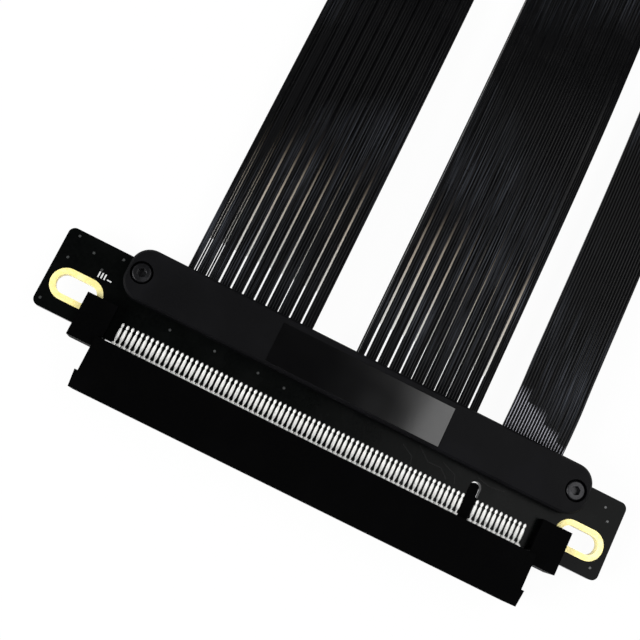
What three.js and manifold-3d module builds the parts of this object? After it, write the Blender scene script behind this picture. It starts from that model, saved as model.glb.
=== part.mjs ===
// Riser cable for a graphics card: a card socket on a small board, flat ribbons
// clamped between two covers, and a card-edge plug at their far end.
// Millimetres. X runs along the boards, Y from the socket to the plug, Z up.
// The origin is the middle of the socket end's footprint, on the table.
import * as THREE from "three";
import { mergeVertices } from "three/addons/utils/BufferGeometryUtils.js";
import Module from "manifold-3d";

const wasm = await Module();
wasm.setup();

// Contacts: two groups at one pitch, with a wider step across the key
const CONTACT_PITCH = 1.0;
const SHORT_GROUP = 11;
const LONG_GROUP = 71;
const KEY_STEP = 3.0;
const CONTACT_WIDTH = 0.56;
const CONTACT_THICKNESS = 0.3;
const CONTACT_TAIL = 4.4; // from the housing's back face over the board
const CONTACT_BEAM = 5.8; // from the carrier strip towards the mouth
const CARRIER_DEPTH = 1.0; // strip that joins a group's contacts inside the housing

// Boards
const BOARD_THICKNESS = 1.6;
const BOARD_LENGTH = 116.2;
const BOARD_CORNER = 1.3;
const BOARD_TO_HOUSING = 0.45;
const NOTCH_WIDTH = 2.35;
const NOTCH_REACH = 7.45; // from the housing's back face into the board

// Plated mounting slots near the ends of the socket board
const SLOT_SPACING = 103.9;
const SLOT_FROM_HOUSING = 6.15;
const SLOT_LENGTH = 7.8;
const SLOT_WIDTH = 3.75;
const PLATING_WALL = 0.25;
const PLATING_RIM = 1.15;
const PLATING_FOIL = 0.06;
const PLATING_FIT = 0.05;

// Socket housing
const END_HEIGHT = 8.8; // of the housing, and of the two closed covers
const HOUSING_DEPTH = 10.1;
const END_WALL = 2.2; // between the card slot and the housing's end
const SLOT_MARGIN = 0.85; // card slot beyond the middle of its last contact
const CARD_SLOT_WIDTH = 1.9;
const CARD_SLOT_DEPTH = 7.8;
const LEAD_IN = 0.7;
const FLANGE_DEPTH = 3.25;
const FLANGE_STEP = 0.6;
const FLANGE_DRAFT = 0.35;
const TONGUE_WIDTH = 1.75; // rib that stands in the board's notch
const TONGUE_GAP = 0.15; // to the notch's sides
const TONGUE_SHORT = 0.3; // short of the notch's end
const TONGUE_ROOT = 0.5; // inside the housing
const TONGUE_SHOULDER = 4.7; // wide foot that fills the notch behind the housing
const EAR_REACH = 5.0;
const EAR_HEIGHT = 6.4;
const EAR_FRONT = 1.9; // in front of the housing's back face
const EAR_BACK = 6.55; // behind it
const EAR_INNER = 1.0; // ear over the board, inside the housing's end
const JAW_GAP = 0.15; // between an ear's jaw and the board
const COMB_GAP = 0.15; // around a contact row in the housing

// Covers
const HOUSING_TO_COVER = 8.95;
const COVER_DEPTH = 9.7;
const COVER_SHIFT = 2.0;
const COVER_CORNER = 3.7;
const COVER_CHAMFER = 0.4;
const COVER_BEYOND_SCREW = 2.7;
const COVER_OVERHANG = 2.4; // past the board's cable edge
const POCKET_GAP = 0.3; // around a ribbon in the covers
const POCKET_WALL = 1.5; // closed side of a ribbon's pocket
const LABEL_LENGTH = 35.3;
const LABEL_WIDTH = 7.8;
const LABEL_THICKNESS = 0.12;
const LABEL_FROM_EDGE = 5.2; // its middle from the cover's cable edge

// Screws and nuts
const SCREW_SPACING = 89.1;
const SCREW_FROM_EDGE = 4.85;
const SCREW_DIAMETER = 2.0;
const SCREW_HEAD_DIAMETER = 3.65;
const SCREW_HEAD_HEIGHT = 1.9;
const SCREW_HEAD_CHAMFER = 0.2;
const SCREW_SINK = 0.15; // head below the cover's face
const SCREW_SOCKET = 1.5; // across flats
const SCREW_SOCKET_DEPTH = 1.0;
const SCREW_END = 0.9; // height of its tip over the table
const SCREW_GAP = 0.3;
const NUT_ACROSS = 4.0;
const NUT_THICKNESS = 1.6;
const NUT_SINK = 0.6;
const NUT_GAP = 0.25;

// Ribbons, laid one over the other where there are two
const LEFT_RIBBON_MIDDLE = -23.05;
const LEFT_RIBBON_WIDTH = 25.6;
const MIDDLE_RIBBON_MIDDLE = 11.7;
const MIDDLE_RIBBON_WIDTH = 25.0;
const NARROW_RIBBON_MIDDLE = 36.0;
const NARROW_RIBBON_WIDTH = 12.75;
const RIBBON_THICKNESS = 0.9;
const RIBBON_EDGE = 0.2; // eased corners of the section
const RIBBON_STEPS = 48;
const RIBBON_OVER_BOARD = 0.3;
const RIBBON_OVER_TABLE = 0.05;
const RIBBON_LAYER_GAP = 0.25; // between two layers that lie on the table
const RIBBON_IN_COVER = 6.4;
const JOINT_ROW_DEPTH = 0.9;
const JOINT_ROW_HEIGHT = 0.8;
const JOINT_ROW_INSET = 0.6; // at each end, from the ribbon's edge
const JOINT_ROW_GAP = 0.3;
const RIBBON_REACH = 199.5; // straight from one pair of covers to the other

// Plug end
const PLUG_BOARD_PAST_COVER = 1.6; // at each end
const PLUG_BODY_DEPTH = 6.0; // bare board between the covers and the card edge
const CARD_EDGE_DEPTH = 8.3;
const CARD_EDGE_MARGIN = 0.75; // board beyond the middle of the last finger
const CARD_EDGE_NOTCH = 1.9;
const CARD_EDGE_BEVEL = 0.35;
const CARD_EDGE_BEVEL_DEPTH = 1.2;

// Facets of the round faces, and small distances of the modelling itself
const ROUND_SIDES = 24;
const NUT_HOLE_SIDES = 16;
const CORNER_FACETS = 6;
const PAST = 1; // how far a cut runs past the face that it opens
const END_FLAT = 1e-3; // flat left between the two arcs of a round end
const MERGE_DISTANCE = 1e-5;

const RIBBONS = [
  { name: "left", middle: LEFT_RIBBON_MIDDLE, width: LEFT_RIBBON_WIDTH, layers: ["upper", "lower"] },
  { name: "middle", middle: MIDDLE_RIBBON_MIDDLE, width: MIDDLE_RIBBON_WIDTH, layers: ["upper", "lower"] },
  { name: "narrow", middle: NARROW_RIBBON_MIDDLE, width: NARROW_RIBBON_WIDTH, layers: ["upper"] },
];

// Heights and places that follow from the sizes above
const MID_Z = END_HEIGHT / 2;
const BOARD_TOP = MID_Z + BOARD_THICKNESS / 2;
const BOARD_BOTTOM = MID_Z - BOARD_THICKNESS / 2;
const END_DEPTH = HOUSING_DEPTH + HOUSING_TO_COVER + COVER_DEPTH;
const MOUTH_Y = -END_DEPTH / 2;
const HOUSING_BACK_Y = MOUTH_Y + HOUSING_DEPTH;
const COVER_EDGE_Y = MOUTH_Y + END_DEPTH;
const BOARD_FRONT_Y = HOUSING_BACK_Y + BOARD_TO_HOUSING;
const BOARD_BACK_Y = COVER_EDGE_Y - COVER_OVERHANG;
const FIELD_LENGTH = (SHORT_GROUP - 1 + LONG_GROUP - 1) * CONTACT_PITCH + KEY_STEP;
const FIRST_CONTACT_X = FIELD_LENGTH / 2;
const SHORT_END_X = FIRST_CONTACT_X - (SHORT_GROUP - 1) * CONTACT_PITCH;
const LONG_START_X = SHORT_END_X - KEY_STEP;
const LAST_CONTACT_X = FIRST_CONTACT_X - FIELD_LENGTH;
const KEY_X = (SHORT_END_X + LONG_START_X) / 2;
const HOUSING_HALF = FIELD_LENGTH / 2 + SLOT_MARGIN + END_WALL;
const PLUG_EDGE_Y = COVER_EDGE_Y + RIBBON_REACH;
const RIBBON_Z = BOARD_TOP + RIBBON_OVER_BOARD + RIBBON_THICKNESS / 2;
const GROUPS = [
  { name: "long", from: LAST_CONTACT_X, to: LONG_START_X, count: LONG_GROUP },
  { name: "short", from: SHORT_END_X, to: FIRST_CONTACT_X, count: SHORT_GROUP },
];

// How a ribbon comes down from the covers to the table, up to its middle:
// distance from the covers' edge, and share of the whole drop still above it.
const WIDE_DROP = [
  [0, 1], [8, 1], [20, 0.995], [34, 0.97], [46, 0.91], [58, 0.79], [66, 0.65], [74, 0.44],
  [82, 0.2], [89, 0.05], [94, 0.005],
];
// The narrow one lifts a little behind the covers before it comes down.
const NARROW_DROP = [
  [0, 1], [4, 1.06], [9, 1.08], [14, 1.0], [19, 0.97], [36, 0.86], [50, 0.74], [62, 0.56],
  [72, 0.36], [81, 0.16], [88, 0.045], [94, 0.005],
];
const LOWER_LIE = RIBBON_THICKNESS / 2 + RIBBON_OVER_TABLE;
const UPPER_LIE = LOWER_LIE + RIBBON_THICKNESS + RIBBON_LAYER_GAP;

const FINISHES = {
  housing: { color: 0x0b0b0c, roughness: 0.55, metalness: 0.0 },
  board: { color: 0x101312, roughness: 0.35, metalness: 0.0 },
  cover: { color: 0x1d1d20, roughness: 0.6, metalness: 0.0 },
  label: { color: 0x060607, roughness: 0.12, metalness: 0.0 },
  tin: { color: 0xd9d6cf, roughness: 0.3, metalness: 1.0 },
  gold: { color: 0xf1d98a, roughness: 0.28, metalness: 1.0 },
  screw: { color: 0x141416, roughness: 0.4, metalness: 0.6 },
  nut: { color: 0x9a9a98, roughness: 0.4, metalness: 1.0 },
  ribbon: { color: 0x0d0d10, roughness: 0.4, metalness: 0.0 },
};

// Solids and cuts
function solidOf(geometry) {
  const bare = geometry.clone();
  bare.deleteAttribute("normal");
  bare.deleteAttribute("uv");
  const merged = mergeVertices(bare, MERGE_DISTANCE);
  return new wasm.Manifold(new wasm.Mesh({
    numProp: 3,
    vertProperties: new Float32Array(merged.attributes.position.array),
    triVerts: new Uint32Array(merged.index.array),
  }));
}

function geometryOf(solid) {
  const mesh = solid.getMesh();
  const geometry = new THREE.BufferGeometry();
  geometry.setAttribute("position", new THREE.BufferAttribute(mesh.vertProperties, 3));
  geometry.setIndex(new THREE.BufferAttribute(mesh.triVerts, 1));
  return geometry;
}

function joined(geometries) {
  return geometryOf(geometries.map(solidOf).reduce((whole, next) => whole.add(next)));
}

function cut(geometry, tools) {
  return geometryOf(tools.map(solidOf).reduce((whole, tool) => whole.subtract(tool), solidOf(geometry)));
}

// Plain shapes, each given by where it lies
function boxBetween([x0, x1], [y0, y1], [z0, z1]) {
  const box = new THREE.BoxGeometry(Math.abs(x1 - x0), Math.abs(y1 - y0), Math.abs(z1 - z0));
  return box.translate((x0 + x1) / 2, (y0 + y1) / 2, (z0 + z1) / 2);
}

function plate(shape, z0, z1) {
  const flat = { depth: z1 - z0, bevelEnabled: false, curveSegments: CORNER_FACETS };
  return new THREE.ExtrudeGeometry(shape, flat).translate(0, 0, z0);
}

// A (Y, Z) outline drawn out along X
function barAlongX(outline, x0, x1) {
  const shape = new THREE.Shape(outline.map(([y, z]) => new THREE.Vector2(y, z)));
  const bar = new THREE.ExtrudeGeometry(shape, { depth: x1 - x0, bevelEnabled: false });
  const turn = new THREE.Matrix4().makeBasis(
    new THREE.Vector3(0, 1, 0), new THREE.Vector3(0, 0, 1), new THREE.Vector3(1, 0, 0));
  return bar.applyMatrix4(turn).translate(x0, 0, 0);
}

function upright(radius, z0, z1, x, y, sides = ROUND_SIDES) {
  const cylinder = new THREE.CylinderGeometry(radius, radius, z1 - z0, sides);
  return cylinder.rotateX(Math.PI / 2).translate(x, y, (z0 + z1) / 2);
}

function hexagon(acrossFlats, z0, z1, x, y) {
  return upright(acrossFlats / Math.sqrt(3), z0, z1, x, y, 6);
}

function roundedRectangle([x0, x1], [y0, y1], radius) {
  const shape = new THREE.Shape();
  shape.moveTo(x0 + radius, y0);
  shape.lineTo(x1 - radius, y0);
  shape.absarc(x1 - radius, y0 + radius, radius, -Math.PI / 2, 0);
  shape.lineTo(x1, y1 - radius);
  shape.absarc(x1 - radius, y1 - radius, radius, 0, Math.PI / 2);
  shape.lineTo(x0 + radius, y1);
  shape.absarc(x0 + radius, y1 - radius, radius, Math.PI / 2, Math.PI);
  shape.lineTo(x0, y0 + radius);
  shape.absarc(x0 + radius, y0 + radius, radius, Math.PI, 1.5 * Math.PI);
  return shape;
}

function slotShape(x, y, length, width) {
  return roundedRectangle(
    [x - length / 2, x + length / 2], [y - width / 2, y + width / 2], width / 2 - END_FLAT);
}

// The two ends of the ribbons: edge is where they leave the covers, and
// towards points from there into the end.
const SOCKET_END = { prefix: "", edge: COVER_EDGE_Y, towards: -1 };
const PLUG_END = { prefix: "plug_", edge: PLUG_EDGE_Y, towards: 1 };

function inwards(end, from, to) {
  const places = [end.edge + end.towards * from, end.edge + end.towards * to];
  return places.sort((a, b) => a - b);
}

// Height of something on the lower side, mirrored about the board's middle
function onSide(layer, z) {
  return layer === "upper" ? z : END_HEIGHT - z;
}

function between(layer, z0, z1) {
  return [onSide(layer, z0), onSide(layer, z1)].sort((a, b) => a - b);
}

const SCREWS = [
  { name: "left", x: COVER_SHIFT - SCREW_SPACING / 2 },
  { name: "right", x: COVER_SHIFT + SCREW_SPACING / 2 },
];

// Socket housing
function cardSlot({ from, to }) {
  const half = CARD_SLOT_WIDTH / 2;
  const ends = [from - SLOT_MARGIN, to + SLOT_MARGIN];
  const hollow = boxBetween(ends, [MOUTH_Y - PAST, MOUTH_Y + CARD_SLOT_DEPTH], [MID_Z - half, MID_Z + half]);
  const leadIn = barAlongX([
    [MOUTH_Y, MID_Z - half - LEAD_IN], [MOUTH_Y + LEAD_IN, MID_Z - half],
    [MOUTH_Y + LEAD_IN, MID_Z + half], [MOUTH_Y, MID_Z + half + LEAD_IN],
  ], ...ends);
  return [hollow, leadIn];
}

function combRecess({ from, to }, layer) {
  const front = combFront() - COMB_GAP;
  const half = CONTACT_WIDTH / 2 + COMB_GAP;
  const [z0, z1] = between(layer, BOARD_TOP - COMB_GAP, BOARD_TOP + CONTACT_THICKNESS + COMB_GAP);
  return boxBetween([from - half, to + half], [front, HOUSING_BACK_Y + PAST], [z0, z1]);
}

function ear(side) {
  const x0 = side * (HOUSING_HALF - EAR_INNER);
  const x1 = side * (HOUSING_HALF + EAR_REACH);
  const low = MID_Z - EAR_HEIGHT / 2;
  return boxBetween(
    [x0, x1], [HOUSING_BACK_Y - EAR_FRONT, HOUSING_BACK_Y + EAR_BACK], [low, low + EAR_HEIGHT]);
}

function mouthFlange() {
  const wide = HOUSING_HALF + FLANGE_STEP;
  const shape = new THREE.Shape([
    new THREE.Vector2(-wide + FLANGE_DRAFT, MOUTH_Y), new THREE.Vector2(wide - FLANGE_DRAFT, MOUTH_Y),
    new THREE.Vector2(wide, MOUTH_Y + FLANGE_DEPTH), new THREE.Vector2(-wide, MOUTH_Y + FLANGE_DEPTH),
  ]);
  return plate(shape, 0, END_HEIGHT);
}

function notchPlace() {
  const left = KEY_X - NOTCH_WIDTH / 2;
  return { left, right: left + NOTCH_WIDTH, end: HOUSING_BACK_Y + NOTCH_REACH };
}

function notchTongue() {
  const { left, right, end } = notchPlace();
  const x = left + TONGUE_GAP + TONGUE_WIDTH / 2;
  const tip = end - TONGUE_SHORT;
  const start = HOUSING_BACK_Y - TONGUE_ROOT;
  const long = tip - start;
  const rib = plate(
    slotShapeAlongY(x, start + long / 2, long, TONGUE_WIDTH), BOARD_BOTTOM, BOARD_TOP);
  const foot = boxBetween(
    [left + TONGUE_GAP, right - TONGUE_GAP], [start, HOUSING_BACK_Y + TONGUE_SHOULDER],
    [BOARD_BOTTOM, BOARD_TOP]);
  return joined([rib, foot]);
}

function slotShapeAlongY(x, y, length, width) {
  return roundedRectangle(
    [x - width / 2, x + width / 2], [y - length / 2, y + length / 2], width / 2 - END_FLAT);
}

function socketHousing() {
  const body = boxBetween(
    [-HOUSING_HALF, HOUSING_HALF], [MOUTH_Y, HOUSING_BACK_Y], [0, END_HEIGHT]);
  const shell = joined([body, mouthFlange(), ear(-1), ear(1)]);
  const far = HOUSING_HALF + EAR_REACH + PAST;
  const boardSlot = boxBetween(
    [-far, far], [BOARD_FRONT_Y - JAW_GAP, HOUSING_BACK_Y + EAR_BACK + PAST],
    [BOARD_BOTTOM - JAW_GAP, BOARD_TOP + JAW_GAP]);
  const hollows = GROUPS.flatMap((group) => [
    ...cardSlot(group), combRecess(group, "upper"), combRecess(group, "lower")]);
  return joined([cut(shell, [boardSlot, ...hollows]), notchTongue()]);
}

// Contact rows: each contact has a beam in the card slot and a tail on the
// board, and the carrier strip inside the housing joins a group.
function combFront() {
  return MOUTH_Y + CARD_SLOT_DEPTH - CONTACT_BEAM;
}

function contactRow({ from, count }, layer) {
  const front = combFront();
  const carrier = MOUTH_Y + CARD_SLOT_DEPTH;
  const tailEnd = HOUSING_BACK_Y + CONTACT_TAIL;
  const half = CONTACT_WIDTH / 2;
  const centres = Array.from({ length: count }, (_, i) => from + i * CONTACT_PITCH);
  const beams = centres.flatMap((x, i) => [
    ...(i === 0 ? [] : [[x - half, carrier]]),
    [x - half, front], [x + half, front],
    ...(i === count - 1 ? [] : [[x + half, carrier]]),
  ]);
  const tails = centres.toReversed().flatMap((x, i) => [
    ...(i === 0 ? [] : [[x + half, carrier + CARRIER_DEPTH]]),
    [x + half, tailEnd], [x - half, tailEnd],
    ...(i === count - 1 ? [] : [[x - half, carrier + CARRIER_DEPTH]]),
  ]);
  const outline = [...beams, ...tails].map(([x, y]) => new THREE.Vector2(x, y));
  const [z0, z1] = between(layer, BOARD_TOP, BOARD_TOP + CONTACT_THICKNESS);
  return plate(new THREE.Shape(outline), z0, z1);
}

// Boards
function mountingSlots() {
  return [-1, 1].map((side) => ({
    name: side < 0 ? "left" : "right",
    x: side * SLOT_SPACING / 2,
    y: HOUSING_BACK_Y + SLOT_FROM_HOUSING,
  }));
}

function screwHoles(end, z0, z1) {
  const [y] = inwards(end, SCREW_FROM_EDGE, SCREW_FROM_EDGE);
  return SCREWS.map(({ x }) => upright(SCREW_DIAMETER / 2 + SCREW_GAP, z0, z1, x, y));
}

function socketBoard() {
  const half = BOARD_LENGTH / 2;
  const blank = plate(
    roundedRectangle([-half, half], [BOARD_FRONT_Y, BOARD_BACK_Y], BOARD_CORNER),
    BOARD_BOTTOM, BOARD_TOP);
  const through = [BOARD_BOTTOM - PAST, BOARD_TOP + PAST];
  const grown = 2 * (PLATING_WALL + PLATING_FIT);
  const slots = mountingSlots().map(({ x, y }) => plate(
    slotShape(x, y, SLOT_LENGTH + grown, SLOT_WIDTH + grown), ...through));
  const { left, right, end } = notchPlace();
  const start = BOARD_FRONT_Y - NOTCH_WIDTH;
  const notch = plate(
    slotShapeAlongY((left + right) / 2, (start + end) / 2, end - start, NOTCH_WIDTH), ...through);
  return cut(blank, [...slots, notch, ...screwHoles(SOCKET_END, ...through)]);
}

function slotPlating({ x, y }) {
  const barrel = plate(
    slotShape(x, y, SLOT_LENGTH + 2 * PLATING_WALL, SLOT_WIDTH + 2 * PLATING_WALL),
    BOARD_BOTTOM - PLATING_FOIL, BOARD_TOP + PLATING_FOIL);
  const rim = slotShape(x, y, SLOT_LENGTH + 2 * PLATING_RIM, SLOT_WIDTH + 2 * PLATING_RIM);
  const rims = ["lower", "upper"].map(
    (layer) => plate(rim, ...between(layer, BOARD_TOP, BOARD_TOP + PLATING_FOIL)));
  const hole = plate(slotShape(x, y, SLOT_LENGTH, SLOT_WIDTH), BOARD_BOTTOM - PAST, BOARD_TOP + PAST);
  return cut(joined([barrel, ...rims]), [hole]);
}

function plugBoard() {
  const half = SCREW_SPACING / 2 + COVER_BEYOND_SCREW + PLUG_BOARD_PAST_COVER;
  const body = COVER_DEPTH + PLUG_BODY_DEPTH;
  const blank = plate(
    roundedRectangle(
      [COVER_SHIFT - half, COVER_SHIFT + half], inwards(PLUG_END, COVER_OVERHANG, body), BOARD_CORNER),
    BOARD_BOTTOM, BOARD_TOP);
  const tip = PLUG_EDGE_Y + body + CARD_EDGE_DEPTH;
  const tongue = barAlongX([
    [PLUG_EDGE_Y + body - BOARD_CORNER, BOARD_BOTTOM],
    [tip - CARD_EDGE_BEVEL_DEPTH, BOARD_BOTTOM], [tip, BOARD_BOTTOM + CARD_EDGE_BEVEL],
    [tip, BOARD_TOP - CARD_EDGE_BEVEL], [tip - CARD_EDGE_BEVEL_DEPTH, BOARD_TOP],
    [PLUG_EDGE_Y + body - BOARD_CORNER, BOARD_TOP],
  ], LAST_CONTACT_X - CARD_EDGE_MARGIN, FIRST_CONTACT_X + CARD_EDGE_MARGIN);
  const through = [BOARD_BOTTOM - PAST, BOARD_TOP + PAST];
  const notchHalf = CARD_EDGE_NOTCH / 2;
  const notch = boxBetween(
    [KEY_X - notchHalf, KEY_X + notchHalf], [tip - CARD_EDGE_DEPTH, tip + PAST], through);
  return cut(joined([blank, tongue]), [notch, ...screwHoles(PLUG_END, ...through)]);
}

// Covers: an upper and a lower one clamp the board and the ribbons
function pocket(end, layer, { middle, width, layers }) {
  const half = width / 2 + POCKET_GAP;
  const ceiling = RIBBON_Z + RIBBON_THICKNESS / 2 + POCKET_GAP;
  const [z0, z1] = between(layer, MID_Z, layers.includes(layer) ? ceiling : MID_Z);
  return boxBetween(
    [middle - half, middle + half], inwards(end, -PAST, COVER_DEPTH - POCKET_WALL), [z0, z1]);
}

function cover(end, layer) {
  const half = SCREW_SPACING / 2 + COVER_BEYOND_SCREW;
  const outline = roundedRectangle(
    [COVER_SHIFT - half, COVER_SHIFT + half], inwards(end, 0, COVER_DEPTH), COVER_CORNER);
  const blank = new THREE.ExtrudeGeometry(outline, {
    depth: END_HEIGHT - 2 * COVER_CHAMFER,
    bevelThickness: COVER_CHAMFER, bevelSize: COVER_CHAMFER, bevelOffset: -COVER_CHAMFER,
    bevelSegments: 1, curveSegments: CORNER_FACETS,
  }).translate(0, 0, COVER_CHAMFER);
  const [y] = inwards(end, SCREW_FROM_EDGE, SCREW_FROM_EDGE);
  const wide = half + Math.abs(COVER_SHIFT) + PAST;
  const otherHalf = boxBetween(
    [-wide, wide], inwards(end, -PAST, COVER_DEPTH + PAST), between(layer, -PAST, MID_Z));
  const boardBay = boxBetween(
    [-wide, wide], inwards(end, COVER_OVERHANG - POCKET_GAP, COVER_DEPTH + PAST),
    between(layer, MID_Z - PAST, BOARD_TOP));
  const pockets = RIBBONS.filter(({ layers }) => layers.includes(layer))
    .map((strip) => pocket(end, layer, strip));
  const seat = END_HEIGHT - SCREW_SINK - SCREW_HEAD_HEIGHT;
  const recesses = SCREWS.map(({ x }) => layer === "upper"
    ? upright(SCREW_HEAD_DIAMETER / 2 + SCREW_GAP, seat, END_HEIGHT + PAST, x, y)
    : hexagon(NUT_ACROSS + 2 * NUT_GAP, -PAST, NUT_SINK + NUT_THICKNESS, x, y));
  const holes = screwHoles(end, -PAST, END_HEIGHT + PAST);
  return cut(blank, [otherHalf, boardBay, ...pockets, ...recesses, ...holes]);
}

function labelPlate() {
  const half = LABEL_LENGTH / 2;
  return boxBetween(
    [COVER_SHIFT - half, COVER_SHIFT + half],
    inwards(SOCKET_END, LABEL_FROM_EDGE - LABEL_WIDTH / 2, LABEL_FROM_EDGE + LABEL_WIDTH / 2),
    [END_HEIGHT, END_HEIGHT + LABEL_THICKNESS]);
}

// Screws with a hexagon socket, and their nuts
function screw(end, x) {
  const [y] = inwards(end, SCREW_FROM_EDGE, SCREW_FROM_EDGE);
  const top = END_HEIGHT - SCREW_SINK;
  const under = top - SCREW_HEAD_HEIGHT;
  const shank = SCREW_DIAMETER / 2;
  const head = SCREW_HEAD_DIAMETER / 2;
  const profile = [
    [0, SCREW_END], [shank, SCREW_END], [shank, under], [head, under],
    [head, top - SCREW_HEAD_CHAMFER], [head - SCREW_HEAD_CHAMFER, top], [0, top],
  ].map(([r, z]) => new THREE.Vector2(r, z));
  const turned = new THREE.LatheGeometry(profile, ROUND_SIDES).rotateX(Math.PI / 2).translate(x, y, 0);
  return cut(turned, [hexagon(SCREW_SOCKET, top - SCREW_SOCKET_DEPTH, top + PAST, x, y)]);
}

function nut(end, x) {
  const [y] = inwards(end, SCREW_FROM_EDGE, SCREW_FROM_EDGE);
  const blank = hexagon(NUT_ACROSS, NUT_SINK, NUT_SINK + NUT_THICKNESS, x, y);
  return cut(blank, [upright(SCREW_DIAMETER / 2 + SCREW_GAP, 0, END_HEIGHT, x, y, NUT_HOLE_SIDES)]);
}

// Ribbons and the rows where their wires are soldered to the boards
function wholeRoute({ layers }, layer) {
  const exit = onSide(layer, RIBBON_Z);
  const lie = layer === "upper" && layers.length > 1 ? UPPER_LIE : LOWER_LIE;
  const drop = layers.length > 1 ? WIDE_DROP : NARROW_DROP;
  const half = [[-RIBBON_IN_COVER, 1], ...drop].map(([from, share]) => [from, lie + share * (exit - lie)]);
  return [
    ...half.map(([from, z]) => [COVER_EDGE_Y + from, z]),
    [(COVER_EDGE_Y + PLUG_EDGE_Y) / 2, lie],
    ...half.toReversed().map(([from, z]) => [PLUG_EDGE_Y - from, z]),
  ];
}

// A flat section with eased corners, drawn along the route. The section's own
// X is the width where the route's first normal points sideways.
function ribbon(strip, layer) {
  const { middle, width } = strip;
  const line = new THREE.CatmullRomCurve3(
    wholeRoute(strip, layer).map(([y, z]) => new THREE.Vector3(middle, y, z)), false, "centripetal");
  const sideways = Math.abs(line.computeFrenetFrames(RIBBON_STEPS, false).normals[0].x) > 0.5;
  const [w, t] = sideways ? [width / 2, RIBBON_THICKNESS / 2] : [RIBBON_THICKNESS / 2, width / 2];
  const ease = RIBBON_EDGE;
  const section = new THREE.Shape([
    [ease - w, -t], [w - ease, -t], [w, ease - t], [w, t - ease],
    [w - ease, t], [ease - w, t], [-w, t - ease], [-w, ease - t],
  ].map(([x, y]) => new THREE.Vector2(x, y)));
  return new THREE.ExtrudeGeometry(section, { steps: RIBBON_STEPS, extrudePath: line });
}

function jointRow(end, layer, { middle, width }) {
  const half = width / 2 - JOINT_ROW_INSET;
  const start = RIBBON_IN_COVER + JOINT_ROW_GAP;
  return boxBetween(
    [middle - half, middle + half], inwards(end, start, start + JOINT_ROW_DEPTH),
    between(layer, BOARD_TOP, BOARD_TOP + JOINT_ROW_HEIGHT));
}

// The whole cable
const cable = new THREE.Group();

function addPiece(name, geometry, finish) {
  const piece = new THREE.Mesh(geometry, new THREE.MeshStandardMaterial(FINISHES[finish]));
  piece.name = name;
  cable.add(piece);
}

addPiece("socket_housing", socketHousing(), "housing");
for (const layer of ["upper", "lower"]) {
  for (const group of GROUPS) {
    addPiece(`${layer}_contacts_${group.name}`, contactRow(group, layer), "tin");
  }
}
addPiece("socket_board", socketBoard(), "board");
for (const slot of mountingSlots()) {
  addPiece(`${slot.name}_slot_plating`, slotPlating(slot), "gold");
}
addPiece("label_plate", labelPlate(), "label");
addPiece("plug_board", plugBoard(), "board");

for (const end of [SOCKET_END, PLUG_END]) {
  for (const layer of ["upper", "lower"]) {
    addPiece(`${end.prefix}${layer}_cover`, cover(end, layer), "cover");
  }
  for (const { name, x } of SCREWS) {
    addPiece(`${end.prefix}${name}_screw`, screw(end, x), "screw");
    addPiece(`${end.prefix}${name}_nut`, nut(end, x), "nut");
  }
  for (const strip of RIBBONS) {
    for (const layer of strip.layers) {
      addPiece(`${end.prefix}${strip.name}_${layer}_joint_row`, jointRow(end, layer, strip), "tin");
    }
  }
}

for (const strip of RIBBONS) {
  for (const layer of strip.layers) {
    addPiece(`${strip.name}_${layer}_ribbon`, ribbon(strip, layer), "ribbon");
  }
}

export default cable;
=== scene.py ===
"""A riser cable for a graphics card: socket end, ribbons and card-edge plug, dressed and lit."""

import logging
import math
from dataclasses import dataclass, field
from enum import Enum
from typing import Callable, Iterable, Optional, Sequence

import bmesh
import bpy
from mathutils import Matrix, Vector


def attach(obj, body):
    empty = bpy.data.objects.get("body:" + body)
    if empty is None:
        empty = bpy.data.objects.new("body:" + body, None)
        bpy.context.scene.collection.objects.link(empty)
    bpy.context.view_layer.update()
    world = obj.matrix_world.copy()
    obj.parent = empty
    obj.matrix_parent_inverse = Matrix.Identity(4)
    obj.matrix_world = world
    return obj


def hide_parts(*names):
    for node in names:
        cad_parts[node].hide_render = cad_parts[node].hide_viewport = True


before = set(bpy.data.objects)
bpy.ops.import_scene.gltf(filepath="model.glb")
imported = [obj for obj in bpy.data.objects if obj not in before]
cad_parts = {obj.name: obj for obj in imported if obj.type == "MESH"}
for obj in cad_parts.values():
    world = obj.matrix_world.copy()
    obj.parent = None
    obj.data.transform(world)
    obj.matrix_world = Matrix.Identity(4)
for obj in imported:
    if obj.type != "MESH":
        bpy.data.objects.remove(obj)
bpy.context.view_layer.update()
MM = 0.001
Point = tuple[float, float]
Rgb = tuple[float, float, float]
log = logging.getLogger("riser_cable")


class Slot(Enum):
    """Material slots of the record."""

    HOUSING = "housing"
    BOARD = "board"
    COVER = "cover"
    LABEL = "label"
    TIN = "contact_tin"
    GOLD = "gold_plating"
    SCREW = "black_screw"
    NUT = "nut_steel"
    RIBBON = "ribbon_jacket"


class Layer(Enum):
    """Side of the boards that a piece lies on."""

    UPPER = "upper"
    LOWER = "lower"


# Materials


def new_group(name: str, inputs: dict[str, object], outputs: dict[str, str]) -> bpy.types.NodeTree:
    """Starts a shader node group.

    Args:
        name: its name.
        inputs: default of each input; a number makes a float socket, a tuple a colour.
        outputs: kind of each output, Float or Color.

    Returns:
        The group with its input and output nodes, called "in" and "out".
    """
    tree = bpy.data.node_groups.new(name, "ShaderNodeTree")
    for key, default in inputs.items():
        kind = "NodeSocketFloat" if isinstance(default, (int, float)) else "NodeSocketColor"
        made = tree.interface.new_socket(name=key, in_out="INPUT", socket_type=kind)
        made.default_value = default if kind == "NodeSocketFloat" else (*default, 1.0)
    for key, kind in outputs.items():
        tree.interface.new_socket(name=key, in_out="OUTPUT", socket_type=f"NodeSocket{kind}")
    tree.nodes.new("NodeGroupInput").name = "in"
    tree.nodes.new("NodeGroupOutput").name = "out"
    return tree


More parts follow.
